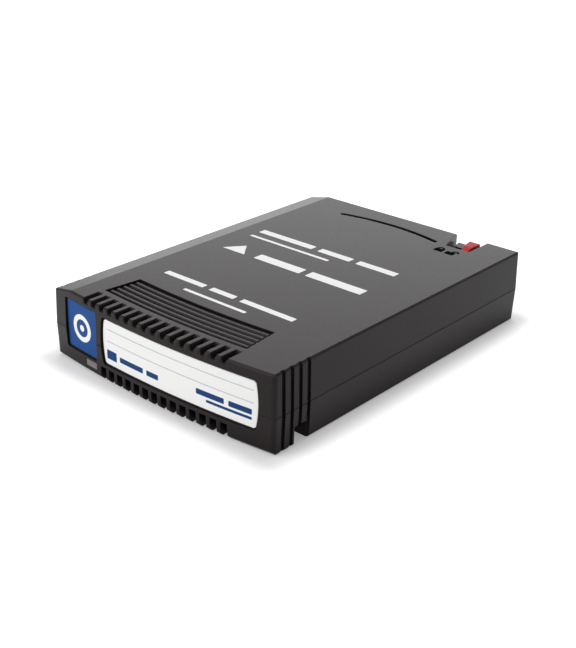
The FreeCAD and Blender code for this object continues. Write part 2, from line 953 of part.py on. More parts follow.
def parked(shape):
    shape.rotate(Vector(0, 0, 0), Vector(0, 0, 1), parked_angle)
    shape.translate(Vector(pivot_x, pivot_y, 0))
    return shape


def layer_pair(half_height, thickness):
    upper = disc_middle + half_height
    lower = disc_middle - half_height - thickness
    return [(lower, lower + thickness), (upper, upper + thickness)]


def coil_sector(inner, outer, half_angle):
    return sector(0, 0, inner, outer, 180 - half_angle, 2 * half_angle, coil_low, coil_high)


def actuator_arm():
    reach = arm_length - beam_length + beam_overlap
    pieces = [rod(0, 0, arm_hub_radius, deck_high + arm_axial_gap, cover_bottom - arm_axial_gap)]
    for z0, z1 in layer_pair(beam_offset + beam_thickness, arm_thickness):
        outline = [(0, -arm_root_half, z0), (reach, -arm_tip_half, z0), (reach, arm_tip_half, z0)]
        outline.append((0, arm_root_half, z0))
        pieces.append(prism(outline, (0, 0, z1 - z0)))
    pieces.append(coil_sector(pivot_radius, coil_inner, coil_half_angle))
    bore = rod(0, 0, pivot_radius + running_clearance, deck_high, drive_top)
    return parked(join(pieces).cut(bore))


def head_suspensions():
    start = arm_length - beam_length
    tip = arm_length + beam_tip_past_head
    beams = []
    for z0, z1 in layer_pair(beam_offset, beam_thickness):
        outline = [(start, -beam_root_half, z0), (tip, -beam_tip_half, z0), (tip, beam_tip_half, z0)]
        outline.append((start, beam_root_half, z0))
        beams.append(prism(outline, (0, 0, z1 - z0)))
    return parked(Part.makeCompound(beams))


def head_sliders():
    half = head_size / 2
    heads = []
    for z0, z1 in layer_pair(beam_offset - head_thickness, head_thickness):
        heads.append(block(arm_length - half, arm_length + half, -half, half, z0, z1))
    return parked(Part.makeCompound(heads))


def voice_coil():
    winding = coil_sector(coil_inner, coil_outer, coil_half_angle)
    hole = coil_sector(coil_inner + coil_rim, coil_outer - coil_rim, coil_half_angle - coil_side_angle)
    return parked(winding.cut(hole))


def pivot_post():
    return rod(pivot_x, pivot_y, pivot_radius, deck_high, cover_bottom)


def yoke_sector(inner, outer, margin, z0, z1):
    start = yoke_angle_from + margin
    return sector(pivot_x, pivot_y, inner, outer, start, yoke_sweep - 2 * margin, z0, z1)


def lower_yoke():
    plate = yoke_sector(yoke_inner, yoke_outer, 0, deck_high, deck_high + yoke_thickness)
    rim = yoke_sector(yoke_outer - yoke_wall, yoke_outer, 0, deck_high, upper_yoke_low)
    return join([plate, rim])


def upper_yoke():
    return yoke_sector(yoke_inner, yoke_outer, 0, upper_yoke_low, cover_bottom)


def lower_magnet():
    low = deck_high + yoke_thickness
    return yoke_sector(magnet_inner, magnet_outer, magnet_angle_margin, low, coil_low - magnet_gap)


def upper_magnet():
    low = coil_high + magnet_gap
    return yoke_sector(magnet_inner, magnet_outer, magnet_angle_margin, low, upper_yoke_low)


def parking_ramp():
    start = parked_angle - ramp_half_angle
    half = beam_offset - ramp_clearance
    z0 = disc_middle - half
    z1 = disc_middle + half
    finger = sector(pivot_x, pivot_y, ramp_inner, ramp_outer, start, 2 * ramp_half_angle, z0, z1)
    foot_inner = ramp_outer - ramp_foot
    foot = sector(pivot_x, pivot_y, foot_inner, ramp_outer, start, 2 * ramp_half_angle, deck_high, z1)
    edge = rod(0, spindle_y, disc_radius + ramp_disc_gap, deck_high, cover_bottom)
    return join([finger, foot]).cut(edge)


def air_filter():
    x1 = chamber_half
    y1 = chamber_rear_y
    return block(x1 - filter_width, x1, y1 - filter_length, y1, deck_high, deck_high + filter_height)


# Shock bumpers: rubber that fills the inside space round a stretch of the drive's side

def bumper(side, front, rear, spaces):
    inner = drive_half - bumper_wrap
    slab = block(inner, half_width, front, rear, 0, case_height)
    if side == "left":
        slab = mirrored(slab)
    return join([slab.common(space) for space in spaces]).cut(drive_body())


def front_bumper(side, spaces):
    return bumper(side, drive_front_y - bumper_nose, drive_front_y + front_bumper_length, spaces)


def rear_bumper(side, spaces):
    rear = drive_rear_y - rear_bumper_from_end
    return bumper(side, rear - rear_bumper_length, rear, spaces)


def main():
    os.makedirs("parts", exist_ok=True)
    spaces = [top_space(), bottom_space(parting_height)]
    save("top_shell", top_shell(spaces[0]))
    save("bottom_shell", bottom_shell())
    save("write_protect_slider", write_protect_slider())
    save("write_label", label_sheet(write_window(0), label_floor))
    save("square_label", label_sheet(square_window(0), label_floor))
    save("small_label", label_sheet(small_window(0), small_label_floor))
    save("dock_connector", dock_connector())
    save("dock_contacts", dock_contacts())
    save("adapter_board", adapter_board())
    save("drive_socket", drive_socket())
    for side in ("left", "right"):
        save(f"front_bumper_{side}", front_bumper(side, spaces))
        save(f"rear_bumper_{side}", rear_bumper(side, spaces))
    save("drive_base", drive_base())
    save("drive_cover", drive_cover())
    save("cover_gasket", cover_gasket())
    save("drive_circuit", drive_circuit())
    save("circuit_chips", circuit_chips())
    save("drive_plug", drive_plug())
    save("spindle_sleeve", spindle_sleeve())
    save("spindle_stator", spindle_stator())
    save("spindle_hub", spindle_hub())
    save("platter", platter())
    save("disc_clamp", disc_clamp())
    save("actuator_arm", actuator_arm())
    save("head_suspensions", head_suspensions())
    save("head_sliders", head_sliders())
    save("voice_coil", voice_coil())
    save("pivot_post", pivot_post())
    save("lower_yoke", lower_yoke())
    save("upper_yoke", upper_yoke())
    save("lower_magnet", lower_magnet())
    save("upper_magnet", upper_magnet())
    save("parking_ramp", parking_ramp())
    save("air_filter", air_filter())


main()
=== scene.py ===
import math

import bmesh
import bpy
from mathutils import Matrix, Vector
from mathutils.bvhtree import BVHTree


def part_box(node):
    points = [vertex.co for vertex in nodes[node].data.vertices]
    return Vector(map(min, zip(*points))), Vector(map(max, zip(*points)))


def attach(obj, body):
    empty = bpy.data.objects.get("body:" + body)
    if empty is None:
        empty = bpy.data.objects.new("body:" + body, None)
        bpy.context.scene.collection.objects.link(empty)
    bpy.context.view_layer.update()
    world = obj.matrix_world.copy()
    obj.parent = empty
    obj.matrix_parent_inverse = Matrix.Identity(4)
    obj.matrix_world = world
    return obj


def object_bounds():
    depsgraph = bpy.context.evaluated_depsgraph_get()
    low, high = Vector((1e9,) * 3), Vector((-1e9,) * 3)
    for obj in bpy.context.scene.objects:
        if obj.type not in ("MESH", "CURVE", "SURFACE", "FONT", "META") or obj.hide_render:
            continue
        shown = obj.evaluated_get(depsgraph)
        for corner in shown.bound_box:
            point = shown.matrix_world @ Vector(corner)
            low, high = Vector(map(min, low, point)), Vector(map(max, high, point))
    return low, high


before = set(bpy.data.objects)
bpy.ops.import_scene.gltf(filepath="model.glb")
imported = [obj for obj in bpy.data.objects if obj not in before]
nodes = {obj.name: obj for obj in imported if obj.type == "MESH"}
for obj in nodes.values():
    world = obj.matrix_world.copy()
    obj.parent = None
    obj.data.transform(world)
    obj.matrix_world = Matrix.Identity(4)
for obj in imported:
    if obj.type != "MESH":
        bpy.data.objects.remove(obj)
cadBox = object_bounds()
middle = (cadBox[0] + cadBox[1]) / 2
mm = 0.001
print("frame loaded:", len(nodes), "pieces")


# Small helpers for colours, pattern sizes, nodes and materials

waveTurn = math.tau / 20  # a wave texture repeats after this much of its coordinate
brickRow = 0.25  # height of a row in the brick texture's own units
grainSpread = (0.3, 0.7)  # most of a noise lies between these


def linear(hexColour):
    parts = [int(hexColour[i:i + 2], 16) / 255 for i in (1, 3, 5)]
    curve = [p / 12.92 if p <= 0.04045 else ((p + 0.055) / 1.055) ** 2.4 for p in parts]
    return (*curve, 1.0)


def perMm(size):
    return 1 / (size * mm)  # texture scale for a pattern of this size, on coordinates in metres


def addNode(material, kind, settings=None, inputs=None):
    tree = material.node_tree
    node = tree.nodes.new("ShaderNode" + kind)
    for name, value in (settings or {}).items():
        setattr(node, name, value)
    for name, value in (inputs or {}).items():
        if isinstance(value, bpy.types.NodeSocket):
            tree.links.new(value, node.inputs[name])
        else:
            node.inputs[name].default_value = value
    return node


def newMaterial(name, sockets):
    material = bpy.data.materials.new(name)
    material.use_nodes = True
    shader = material.node_tree.nodes["Principled BSDF"]
    for socket, value in sockets.items():
        shader.inputs[socket].default_value = value
    return material, shader


def connect(material, output, shader, socket):
    material.node_tree.links.new(output, shader.inputs[socket])


def dress(material, *names):
    for name in names:
        mesh = nodes[name].data
        mesh.materials.clear()
        mesh.materials.append(material)


# Moulded plastics: the spark-eroded mould leaves a fine grain that breaks up the sheen, and the melt leaves
# faint clouds of flow. The edges are painted paler, partly as wear where they are handled and partly as a
# painted highlight along them. The real grain is 0.1 mm or less, too fine for the render, so it is drawn
# coarser.

absShell = {  # dark ABS: nearly black seen straight on, with a soft sheen at low angles
    "colour": "#1b1516", "flowColour": "#1f191a", "wearAndHighlightColour": "#3a3435",
    "grainMm": 0.45, "grainDepthMm": 0.006, "flowMm": 38, "edgeMm": 0.25,
    "roughness": (0.27, 0.35), "ior": 1.5, "specular": 0.12,
}
absRed = {  # red ABS, coloured all through: an even satin red
    "colour": "#a82328", "flowColour": "#b02b30", "wearAndHighlightColour": "#c65553",
    "grainMm": 0.3, "grainDepthMm": 0.006, "flowMm": 6, "edgeMm": 0.2,
    "roughness": (0.42, 0.5), "ior": 1.54, "specular": 0.08,
}
nylonBlack = {  # glass-filled nylon: grey-black, with a slightly dusty skin
    "colour": "#171718", "flowColour": "#1c1c1e", "wearAndHighlightColour": "#2b2b2d",
    "grainMm": 0.2, "grainDepthMm": 0.004, "flowMm": 4, "edgeMm": 0.1,
    "roughness": (0.4, 0.52), "ior": 1.55, "specular": 0.5,
}
acetalRamp = {  # natural acetal: waxy off-white and smooth
    "colour": "#d9d3c4", "flowColour": "#e0dbcf", "wearAndHighlightColour": "#eae6dc",
    "grainMm": 0.15, "grainDepthMm": 0.002, "flowMm": 3, "edgeMm": 0.08,
    "roughness": (0.3, 0.4), "ior": 1.48, "specular": 0.5,
}
siliconeBumper = {  # silicone rubber: soft black without shine
    "colour": "#242526", "flowColour": "#2a2b2c", "wearAndHighlightColour": "#303132",
    "grainMm": 0.6, "grainDepthMm": 0.02, "flowMm": 8, "edgeMm": 0.3,
    "roughness": (0.7, 0.82), "ior": 1.41, "specular": 0.4,
}
epoxyChip = {  # moulded epoxy: flat charcoal
    "colour": "#1d1d1f", "flowColour": "#232325", "wearAndHighlightColour": "#313133",
    "grainMm": 0.12, "grainDepthMm": 0.004, "flowMm": 5, "edgeMm": 0.1,
    "roughness": (0.5, 0.62), "ior": 1.55, "specular": 0.5,
}
wearAndHighlightEdge = {"samples": 6, "flat": 0.995, "sharp": 0.8, "share": 0.6}  # cosines of how far an edge turns


def mouldedPlastic(name, look):
    material, shader = newMaterial(name, {"IOR": look["ior"], "Specular IOR Level": look["specular"]})
    place = addNode(material, "TexCoord").outputs["Object"]
    flow = addNode(material, "TexNoise", None,
                   {"Vector": place, "Scale": perMm(look["flowMm"]), "Detail": 3.0, "Roughness": 0.6})
    grain = addNode(material, "TexNoise", None,
                    {"Vector": place, "Scale": perMm(look["grainMm"]), "Detail": 2.0, "Roughness": 0.55})
    body = addNode(material, "Mix", {"data_type": "RGBA"},
                   {0: flow.outputs["Fac"], 6: linear(look["colour"]), 7: linear(look["flowColour"])})
    rounded = addNode(material, "Bevel", {"samples": wearAndHighlightEdge["samples"]}, {"Radius": look["edgeMm"] * mm})
    facing = addNode(material, "NewGeometry").outputs["Normal"]
    turn = addNode(material, "VectorMath", {"operation": "DOT_PRODUCT"},
                   {0: rounded.outputs["Normal"], 1: facing})
    # painted highlight and wear: where the rounded normal turns away from the face, the paler edge colour is
    # mixed in
    wearAndHighlightMask = addNode(material, "MapRange", None,
                   {"Value": turn.outputs["Value"], "From Min": wearAndHighlightEdge["flat"],
                    "From Max": wearAndHighlightEdge["sharp"], "To Max": wearAndHighlightEdge["share"]})
    wearAndHighlight = addNode(material, "Mix", {"data_type": "RGBA"},
                   {0: wearAndHighlightMask.outputs["Result"], 6: body.outputs[2], 7: linear(look["wearAndHighlightColour"])})
    rough = addNode(material, "MapRange", None,
                    {"Value": grain.outputs["Fac"], "From Min": grainSpread[0], "From Max": grainSpread[1],
                     "To Min": look["roughness"][0], "To Max": look["roughness"][1]})
    bump = addNode(material, "Bump", None,
                   {"Height": grain.outputs["Fac"], "Distance": look["grainDepthMm"] * mm,
                    "Normal": rounded.outputs["Normal"]})
    connect(material, wearAndHighlight.outputs[2], shader, "Base Color")
    connect(material, rough.outputs["Result"], shader, "Roughness")
    connect(material, bump.outputs["Normal"], shader, "Normal")
    return material


dress(mouldedPlastic("mouldedAbsShell", absShell), "top_shell", "bottom_shell")
dress(mouldedPlastic("mouldedAbsRed", absRed), "write_protect_slider")
dress(mouldedPlastic("mouldedNylonBlack", nylonBlack), "dock_connector", "drive_socket", "drive_plug")
dress(mouldedPlastic("mouldedAcetal", acetalRamp), "parking_ramp")
dress(mouldedPlastic("mouldedSilicone", siliconeBumper),
      "front_bumper_left", "front_bumper_right", "rear_bumper_left", "rear_bumper_right", "cover_gasket")
dress(mouldedPlastic("mouldedEpoxy", epoxyChip), "circuit_chips")
print("moulded plastics done")


# Labels and filter: sheets of fibre. On a label the coat hides all but a faint mottle of the fibres, which
# are really about 0.03 mm wide and are drawn coarser so that they show.

whiteLabel = {  # coated write-on label: satin white that takes a pen
    "colour": "#f2f2f1", "mottle": "#e9e9e8", "fibreMm": 0.35, "depthMm": 0.003,
    "roughness": (0.42, 0.52), "ior": 1.5, "specular": 0.2,
}
blueLabel = {  # coated label printed blue all over: deep and a little smoother
    "colour": "#124382", "mottle": "#184a8a", "fibreMm": 0.5, "depthMm": 0.003,
    "roughness": (0.36, 0.46), "ior": 1.5, "specular": 0.08,
}
greyLabel = {  # coated label printed grey: dull mid grey
    "colour": "#747071", "mottle": "#7e7a7b", "fibreMm": 0.3, "depthMm": 0.003,
    "roughness": (0.45, 0.55), "ior": 1.5, "specular": 0.1,
}
filterFleece = {  # felted filter fleece: loose fibres that scatter the light, dull and soft
    "colour": "#dcdcd8", "mottle": "#c4c4bf", "fibreMm": 0.25, "depthMm": 0.05,
    "roughness": (0.8, 0.9), "ior": 1.5, "specular": 0.2,
}


def fibreSheet(name, look):
    material, shader = newMaterial(name, {"IOR": look["ior"], "Specular IOR Level": look["specular"]})
    place = addNode(material, "TexCoord").outputs["Object"]
    fibre = addNode(material, "TexNoise", None,
                    {"Vector": place, "Scale": perMm(look["fibreMm"]), "Detail": 4.0, "Distortion": 1.2})
    tone = addNode(material, "Mix", {"data_type": "RGBA"},
                   {0: fibre.outputs["Fac"], 6: linear(look["colour"]), 7: linear(look["mottle"])})
    rough = addNode(material, "MapRange", None,
                    {"Value": fibre.outputs["Fac"],
                     "To Min": look["roughness"][0], "To Max": look["roughness"][1]})
    bump = addNode(material, "Bump", None,
                   {"Height": fibre.outputs["Fac"], "Distance": look["depthMm"] * mm})
    connect(material, tone.outputs[2], shader, "Base Color")
    connect(material, rough.outputs["Result"], shader, "Roughness")
    connect(material, bump.outputs["Normal"], shader, "Normal")
    return material


dress(fibreSheet("coatedLabelWhite", whiteLabel), "write_label")
dress(fibreSheet("coatedLabelBlue", blueLabel), "square_label")
dress(fibreSheet("coatedLabelGrey", greyLabel), "small_label")
dress(fibreSheet("feltedFleece", filterFleece), "air_filter")
print("labels done")


# Metals: the mark of the process shows in the roughness more than in the colour. grainMm is the size of
# the marks along x, y and z. Tool and brush lines are really about 0.03 mm apart and are drawn coarser.

castAluminium = {  # die cast and blasted: dull, cloudy light grey
    "colour": "#b4b6b8", "mottle": "#9fa2a5",
    "grainMm": (0.5, 0.5, 0.5), "depthMm": 0.02, "roughness": (0.38, 0.55),
}
brushedSteel = {  # stainless sheet brushed along y: highlights spread across the lines
    "colour": "#c3c4c4", "mottle": "#aeb0b1",
    "grainMm": (0.12, 9, 0.12), "depthMm": 0.004, "roughness": (0.22, 0.36),
}
laminatedSteel = {  # a stack of stamped sheets 0.35 mm thick: dark layers
    "colour": "#7d7f82", "mottle": "#6a6c70",
    "grainMm": (3, 3, 0.35), "depthMm": 0.02, "roughness": (0.35, 0.5),
}
nickelYoke = {  # nickel-plated steel: warm grey and half bright
    "colour": "#b9b3a6", "mottle": "#aaa497",
    "grainMm": (0.4, 0.4, 0.4), "depthMm": 0.004, "roughness": (0.24, 0.36),
}
nickelMagnet = {  # sintered and nickel plated: greyer and duller than the yoke
    "colour": "#a9a8a6", "mottle": "#9a9997",
    "grainMm": (0.25, 0.25, 0.25), "depthMm": 0.004, "roughness": (0.3, 0.42),
}
turnedBrass = {  # turned: yellow, with fine rings round the axis
    "colour": "#d3ab5a", "mottle": "#c29a4b",
    "grainMm": (6, 6, 0.08), "depthMm": 0.004, "roughness": (0.2, 0.32),
}
goldContact = {  # gold plated: bright yellow, faintly drawn along y
    "colour": "#e2bd68", "mottle": "#d6ae58",
    "grainMm": (0.1, 2, 0.1), "depthMm": 0.001, "roughness": (0.18, 0.28),
}
copperWinding = {  # enamelled wire of 0.12 mm, wound: red-brown turns
    "colour": "#b9673c", "mottle": "#9b4f2a",
    "grainMm": (4, 4, 0.12), "depthMm": 0.03, "roughness": (0.26, 0.38),
}
lappedCeramic = {  # dark ceramic, lapped until it shines like metal
    "colour": "#4b4c50", "mottle": "#3e3f43",
    "grainMm": (0.1, 0.1, 0.1), "depthMm": 0.001, "roughness": (0.2, 0.3),
}
machinedAluminium = {  # milled and turned, left bare: bright, with fine tool lines
    "colour": "#c9cacb", "mottle": "#b9bbbd",
    "grainMm": (5, 0.1, 5), "depthMm": 0.003, "roughness": (0.2, 0.32),
}


def workedMetal(name, look):
    material, shader = newMaterial(name, {"Metallic": 1.0})
    place = addNode(material, "TexCoord").outputs["Object"]
    stretched = addNode(material, "Mapping", None,
                        {"Vector": place, "Scale": [perMm(size) for size in look["grainMm"]]})
    grain = addNode(material, "TexNoise", None,
                    {"Vector": stretched.outputs["Vector"], "Scale": 1.0, "Detail": 4.0})
    tone = addNode(material, "Mix", {"data_type": "RGBA"},
                   {0: grain.outputs["Fac"], 6: linear(look["colour"]), 7: linear(look["mottle"])})
    rough = addNode(material, "MapRange", None,
                    {"Value": grain.outputs["Fac"],
                     "To Min": look["roughness"][0], "To Max": look["roughness"][1]})
    bump = addNode(material, "Bump", None,
                   {"Height": grain.outputs["Fac"], "Distance": look["depthMm"] * mm})
    connect(material, tone.outputs[2], shader, "Base Color")
    connect(material, rough.outputs["Result"], shader, "Roughness")
    connect(material, bump.outputs["Normal"], shader, "Normal")
    return material


dress(workedMetal("castAluminium", castAluminium), "drive_base")
dress(workedMetal("brushedStainlessSteel", brushedSteel), "drive_cover", "head_suspensions", "pivot_post")
dress(workedMetal("laminatedSiliconSteel", laminatedSteel), "spindle_stator")
dress(workedMetal("nickelPlatedSteel", nickelYoke), "lower_yoke", "upper_yoke")
dress(workedMetal("nickelPlatedMagnet", nickelMagnet), "lower_magnet", "upper_magnet")
dress(workedMetal("turnedBrass", turnedBrass), "spindle_sleeve")
dress(workedMetal("goldPlatedContact", goldContact), "dock_contacts")
dress(workedMetal("enamelledCopperWire", copperWinding), "voice_coil")
dress(workedMetal("lappedCeramic", lappedCeramic), "head_sliders")
dress(workedMetal("machinedAluminium", machinedAluminium), "actuator_arm", "spindle_hub", "disc_clamp")
print("metals done")


# Disc: sputtered carbon on polished glass, a mirror whose rings are far too fine to see and are drawn coarser

mirrorDisc = {"colour": "#b8bcc2", "ringMm": 2.5, "ringBend": 0.4, "roughness": (0.04, 0.09)}


def sputteredDisc(look):
    material, shader = newMaterial("sputteredDisc", {"Metallic": 1.0, "Base Color": linear(look["colour"])})
    low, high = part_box("platter")
    place = addNode(material, "TexCoord").outputs["Object"]
    centred = addNode(material, "VectorMath", {"operation": "SUBTRACT"}, {0: place, 1: (low + high) / 2})
    rings = addNode(material, "TexWave", {"wave_type": "RINGS", "rings_direction": "Z"},
                    {"Vector": centred.outputs["Vector"], "Scale": perMm(look["ringMm"]) * waveTurn,
                     "Distortion": look["ringBend"]})
    rough = addNode(material, "MapRange", None,
                    {"Value": rings.outputs["Fac"],
                     "To Min": look["roughness"][0], "To Max": look["roughness"][1]})
    connect(material, rough.outputs["Result"], shader, "Roughness")
    return material


dress(sputteredDisc(mirrorDisc), "platter")


# Circuit boards: woven glass and epoxy under green solder mask, so the copper shows through as paler lines
# and the weave, at its real size, as a faint unevenness

circuitBoard = {
    "mask": "#145236", "copper": "#1f6a45", "traceMm": 1.2, "traceShare": 0.06,
    "weaveMm": 0.5, "weaveBend": 1.0, "weaveDepthMm": 0.01, "roughness": 0.32, "ior": 1.52,
}


def solderMask(look):
    material, shader = newMaterial("solderMaskBoard", {"Roughness": look["roughness"], "IOR": look["ior"]})
    place = addNode(material, "TexCoord").outputs["Object"]
    traces = addNode(material, "TexBrick", {"offset": 0.5},
                     {"Vector": place, "Scale": perMm(look["traceMm"]) * brickRow,
                      "Mortar Size": look["traceShare"], "Color1": linear(look["mask"]),
                      "Color2": linear(look["mask"]), "Mortar": linear(look["copper"])})
    weave = addNode(material, "TexWave", {"bands_direction": "DIAGONAL"},
                    {"Vector": place, "Scale": perMm(look["weaveMm"]) * waveTurn,
                     "Distortion": look["weaveBend"]})
    bump = addNode(material, "Bump", None,
                   {"Height": weave.outputs["Fac"], "Distance": look["weaveDepthMm"] * mm})
    connect(material, traces.outputs["Color"], shader, "Base Color")
    connect(material, bump.outputs["Normal"], shader, "Normal")
    return material


dress(solderMask(circuitBoard), "adapter_board", "drive_circuit")
print("disc and boards done")


# Screen-printed ink: a thin opaque film that dries flat and even. Its pinholes are really about 0.05 mm wide
# and are drawn coarser so that they show.

inkColours = {"white": "#efefee", "navy": "#1c3f73", "grey": "#b9bcc0", "black": "#100f10"}
inkGloss = {"white": 0.08, "navy": 0.08, "grey": 0.08, "black": 0.0}  # specular level, black dries matt
inkFilm = {"pinholeMm": 0.3, "mottle": 0.06, "roughness": (0.5, 0.62), "ior": 1.5}


def screenInk(name, look):
    material, shader = newMaterial("screenInk" + name.capitalize(),
                                   {"IOR": look["ior"], "Specular IOR Level": inkGloss[name]})
    place = addNode(material, "TexCoord").outputs["Object"]
    pinholes = addNode(material, "TexNoise", None,
                       {"Vector": place, "Scale": perMm(look["pinholeMm"]), "Detail": 3.0})
    value = addNode(material, "MapRange", None,
                    {"Value": pinholes.outputs["Fac"],
                     "To Min": 1 - look["mottle"], "To Max": 1 + look["mottle"]})
    tone = addNode(material, "HueSaturation", None,
                   {"Value": value.outputs["Result"], "Color": linear(inkColours[name])})
    rough = addNode(material, "MapRange", None,
                    {"Value": pinholes.outputs["Fac"],
                     "To Min": look["roughness"][0], "To Max": look["roughness"][1]})
    connect(material, tone.outputs["Color"], shader, "Base Color")
    connect(material, rough.outputs["Result"], shader, "Roughness")
    return material


inks = {name: screenInk(name, inkFilm) for name in inkColours}


# Print: closed films of ink, laid by rays onto the surface that carries them

film = {
    "proudMm": 0.03, "sunkMm": 0.02, "stepMm": 1.5, "weldMm": 0.001, "rayStart": 0.3,
    "cornerMm": 0.25, "cornerSteps": 4, "cornerLimit": 2.01, "ringSteps": 40,
}


def roundedBar(x0, x1, y0, y1, corner=film["cornerMm"]):
    corner = min(corner, min(x1 - x0, y1 - y0) / film["cornerLimit"])  # a little under half of the short side
    steps = film["cornerSteps"]
    points = []
    for cx, cy, start in ((x1, y1, 0), (x0, y1, 90), (x0, y0, 180), (x1, y0, 270)):
        for step in range(steps + 1):
            angle = math.radians(start + 90 * step / steps)
            inX = cx - corner if cx == x1 else cx + corner
            inY = cy - corner if cy == y1 else cy + corner
            points.append((inX + corner * math.cos(angle), inY + corner * math.sin(angle)))
    return points


def halfRing(cx, cy, inner, outer, start, steps):
    turns = [math.radians(start + 180 * step / steps) for step in range(steps + 1)]
    outerArc, innerArc = ([(cx + radius * math.cos(turn), cy + radius * math.sin(turn)) for turn in turns]
                          for radius in (outer, inner))
    return outerArc + innerArc[::-1]


carriers = {}


def surfaceOf(name):
    if name not in carriers:
        mesh = nodes[name].data
        carriers[name] = BVHTree.FromPolygons([v.co for v in mesh.vertices],
                                              [p.vertices for p in mesh.polygons])
    return carriers[name]


def printFilm(name, ink, carrier, outlines, side):
    # side "front" prints on x and z from the front, "top" on x and y from above
    away = Vector((0, -1, 0)) if side == "front" else Vector((0, 0, 1))
    bm = bmesh.new()
    for outline in outlines:
        points = [Vector((x, 0, y)) if side == "front" else Vector((x, y, 0)) for x, y in outline]
        bm.faces.new([bm.verts.new(point * mm) for point in points])
    bmesh.ops.remove_doubles(bm, verts=bm.verts[:], dist=film["weldMm"] * mm)  # joins the halves of a ring
    if side == "front":  # cut into narrow strips that follow the bowed front
        low = min(v.co.x for v in bm.verts)
        high = max(v.co.x for v in bm.verts)
        cuts = int((high - low) / (film["stepMm"] * mm))
        for cut in range(1, cuts):
            bmesh.ops.bisect_plane(bm, geom=bm.verts[:] + bm.edges[:] + bm.faces[:],
                                   plane_co=(low + (high - low) * cut / cuts, 0, 0), plane_no=(1, 0, 0))
    bmesh.ops.triangulate(bm, faces=bm.faces[:])
    tree = surfaceOf(carrier)
    for vert in bm.verts:
        hit = tree.ray_cast(vert.co + away * film["rayStart"], -away)[0]
        vert.co = hit - away * film["sunkMm"] * mm
    outer = bmesh.ops.extrude_face_region(bm, geom=bm.faces[:])["geom"]
    rise = away * (film["sunkMm"] + film["proudMm"]) * mm
    bmesh.ops.translate(bm, vec=rise, verts=[g for g in outer if isinstance(g, bmesh.types.BMVert)])
    bmesh.ops.recalc_face_normals(bm, faces=bm.faces[:])
    mesh = bpy.data.meshes.new(name)
    bm.to_mesh(mesh)
    bm.free()
    mesh.materials.append(inks[ink])
    piece = bpy.data.objects.new(name, mesh)
    bpy.context.scene.collection.objects.link(piece)
    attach(piece, "case")


topPrint = {  # in mm, each bar as left, right, front, rear
    "bars": ((-28, -6, 15.2, 18), (-3.5, 9, 15.2, 18), (11.5, 26, 15.2, 18), (-28, 4, 10.8, 12),
             (-14, 4, -2.6, 1.2), (6.5, 27, -2.6, 1.2),
             (-25, -9, -29.8, -27.6), (-6.5, 3, -29.8, -27.6), (5.5, 25, -29.8, -27.6),
             (-12, 12, -34.7, -33.5)),
    "arrow": ((-27, -2.6), (-18, -2.6), (-22.5, 3.4)),
}
printFilm("top_print", "white", "top_shell",
          [roundedBar(*bar) for bar in topPrint["bars"]] + [topPrint["arrow"]], "top")

labelPrint = {  # in mm, each bar as left, right, bottom, top
    "rules": ((-18, 36, 16.75, 17.0), (-18, 36, 13.1, 13.35)),
    "bars": ((-18.2, -14, 7.8, 10.6), (-12.6, -3, 8.4, 10), (-1.6, 3, 8.4, 10),
             (17, 26.5, 9.7, 11.3), (28, 35.5, 9.7, 11.3), (20.5, 35.5, 8.2, 9)),
}
printFilm("label_rules", "grey", "write_label", [roundedBar(*bar) for bar in labelPrint["rules"]], "front")
printFilm("label_print", "navy", "write_label", [roundedBar(*bar) for bar in labelPrint["bars"]], "front")

discSign = {"x": -29.8, "z": 12.9, "inner": 2.7, "outer": 4.2, "dot": 1.0}  # in mm, a ring and a dot


def roundSign(x, z, inner, outer, dot):
    halves = [halfRing(x, z, inner, outer, start, film["ringSteps"]) for start in (0, 180)]
    return halves + [roundedBar(x - dot, x + dot, z - dot, z + dot, dot)]


printFilm("disc_sign", "white", "square_label", roundSign(**discSign), "front")

lockSigns = {  # in mm, each place as x and y of the body's upper edge and how far the bow stands aside
    "places": ((23.2, 44.1, 0.0), (27.4, 43.9, 1.2)),
    "width": 3.2, "height": 2.3, "bow": 1.4, "line": 0.75, "bowSteps": 14,
}


def lockSign(x, y, swing):
    half = lockSigns["width"] / 2
    outer = lockSigns["bow"]
    bow = halfRing(x + swing, y, outer - lockSigns["line"], outer, 0, lockSigns["bowSteps"])
    return [roundedBar(x - half, x + half, y - lockSigns["height"], y), bow]


for index, place in enumerate(lockSigns["places"]):
    printFilm("lock_sign_" + str(index + 1), "black", "top_shell", lockSign(*place), "top")
print("print done")


# Studio: pale floor that keeps the shadow, with a painted shadow round the object, white surround, soft lamps

studio = {
    "floorSize": 8.0, "floorColour": "#dadada", "floorRoughness": 0.9,
    "paintedShadowGlow": 0.24, "farGlow": 0.75, "paintedShadowReachMm": 10.5,  # painted shadow: the floor's glow is lowered near the object and turns white this far from it
    "surroundColour": "#ffffff", "surroundLight": 0.35, "surroundSeen": 1.0,
}
lamps = {  # in watts and metres
    "key": {"energy": 3.0, "size": 0.7, "place": (-0.1, 0.25, 0.9)},  # from above, for the top's print
    "fill": {"energy": 11.6, "size": 1.2, "place": (-0.45, -1.0, 0.55)},  # wide, in front, for the labels
    "side": {"energy": 0.6, "size": 0.5, "place": (0.9, -0.1, 0.4)},  # lifts the right side a little
    "rim": {"energy": 4.1, "size": 1.1, "place": (-0.72, 1.02, 0.42)},  # low behind, the sheen on the top
}


def seenDirectly(material):
    path = addNode(material, "LightPath").outputs
    seen = path["Is Camera Ray"]
    for ray in ("Is Glossy Ray", "Is Transmission Ray"):
        seen = addNode(material, "Math", {"operation": "MAXIMUM"}, {0: seen, 1: path[ray]}).outputs[0]
    return seen


